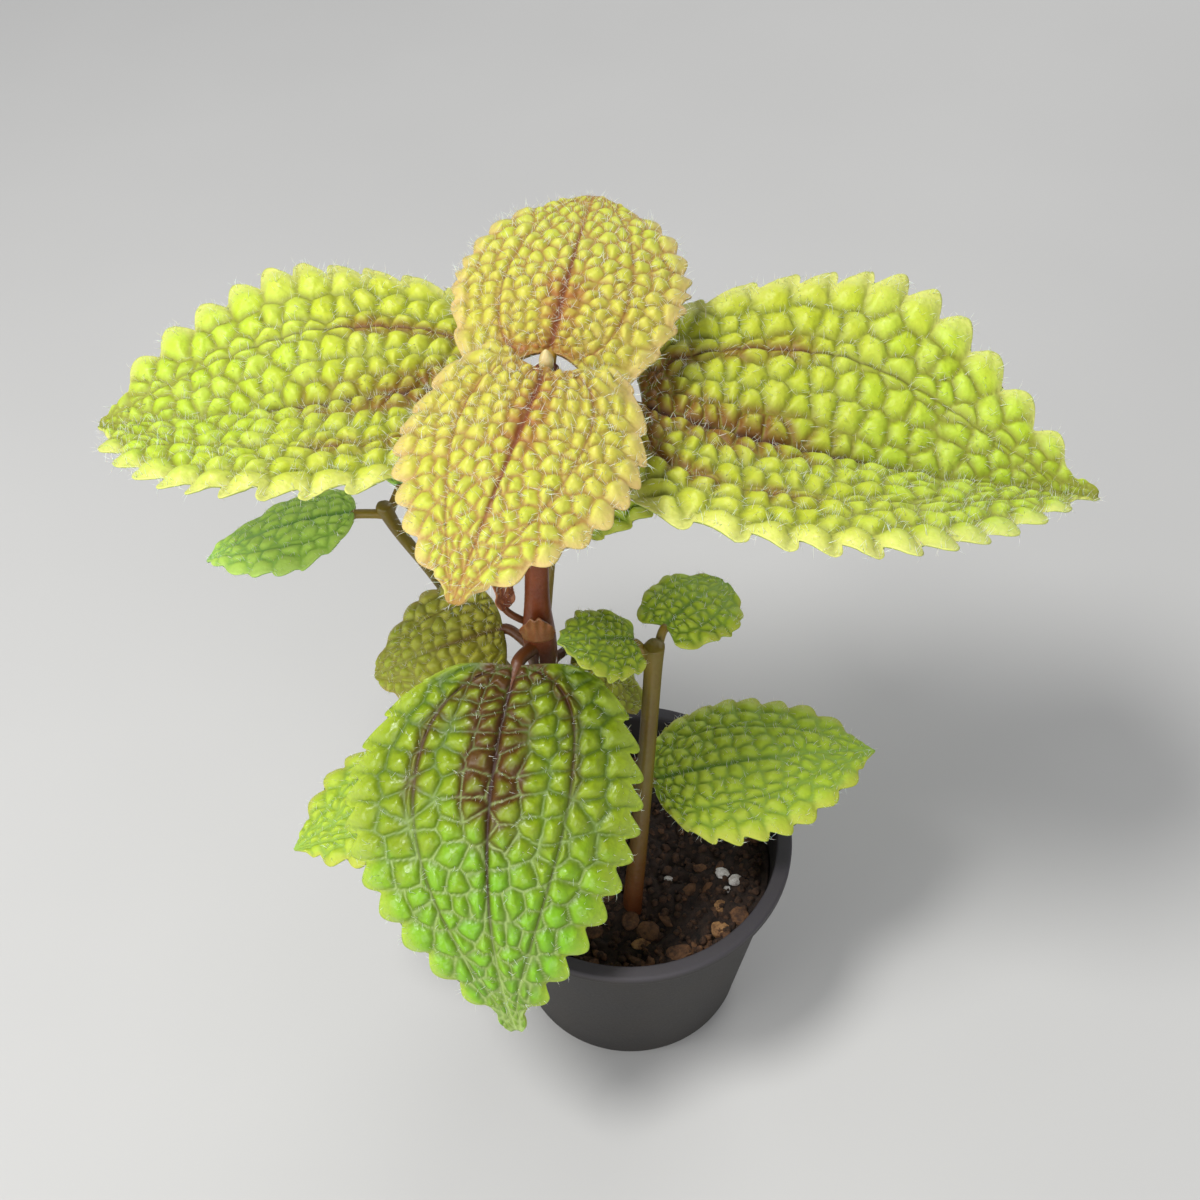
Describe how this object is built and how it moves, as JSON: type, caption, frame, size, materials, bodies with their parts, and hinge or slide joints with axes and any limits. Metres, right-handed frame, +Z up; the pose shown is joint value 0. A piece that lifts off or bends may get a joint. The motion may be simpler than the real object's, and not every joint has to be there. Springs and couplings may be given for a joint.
{
  "type": "potted friendship plant",
  "caption": "Small friendship plant with quilted, toothed, hairy lime and bronze leaves on a leaning stem, growing in a round dark plastic nursery pot.",
  "frame": {"origin": "centre of the pot's flat underside", "axes": "+Z up along the pot's axis; +X to the right and -Y towards the viewer in the picture; the long lime leaves spread along X"},
  "size_m": [0.158, 0.0906, 0.1513],
  "materials": {
    "pot_plastic": "matte charcoal grey thin plastic, slightly paler along the lip",
    "soil": "rough dark peat with tan bark, fibre and white grit",
    "stem_red": "satin red-brown juicy stem",
    "stem_olive": "satin olive-brown juicy stem",
    "papery_brown": "thin papery pale brown sheath",
    "leaf_young": "satin yellow-olive leaf, bronze along the veins, hairy",
    "leaf_lime": "satin lime leaf, brown near the base, hairy",
    "leaf_green": "satin to glossy green leaf with paler edges, hairy"
  },
  "bodies": {
    "root": {"pot": "pot_plastic", "soil": "soil", "node_sheath": "papery_brown", "main_stem": "stem_red", "young_leaf": "stem_red", "right_stem": "stem_olive", "left_branch": "stem_olive", "leaf_crown_front": "leaf_young", "leaf_crown_back": "leaf_young", "crown_bud": "leaf_young", "leaf_crown_right": "leaf_lime", "leaf_crown_left": "leaf_lime", "leaf_mid_front": "leaf_green", "leaf_mid_back": "leaf_green", "leaf_shoot_left": "leaf_green", "leaf_shoot_right": "leaf_green", "leaf_low_right": "leaf_green", "leaf_low_left": "leaf_green", "leaf_side_right": "leaf_green", "leaf_side_left": "leaf_green", "leaf_branch_left": "leaf_green", "leaf_branch_back": "leaf_green"}
  },
  "joints": []
}
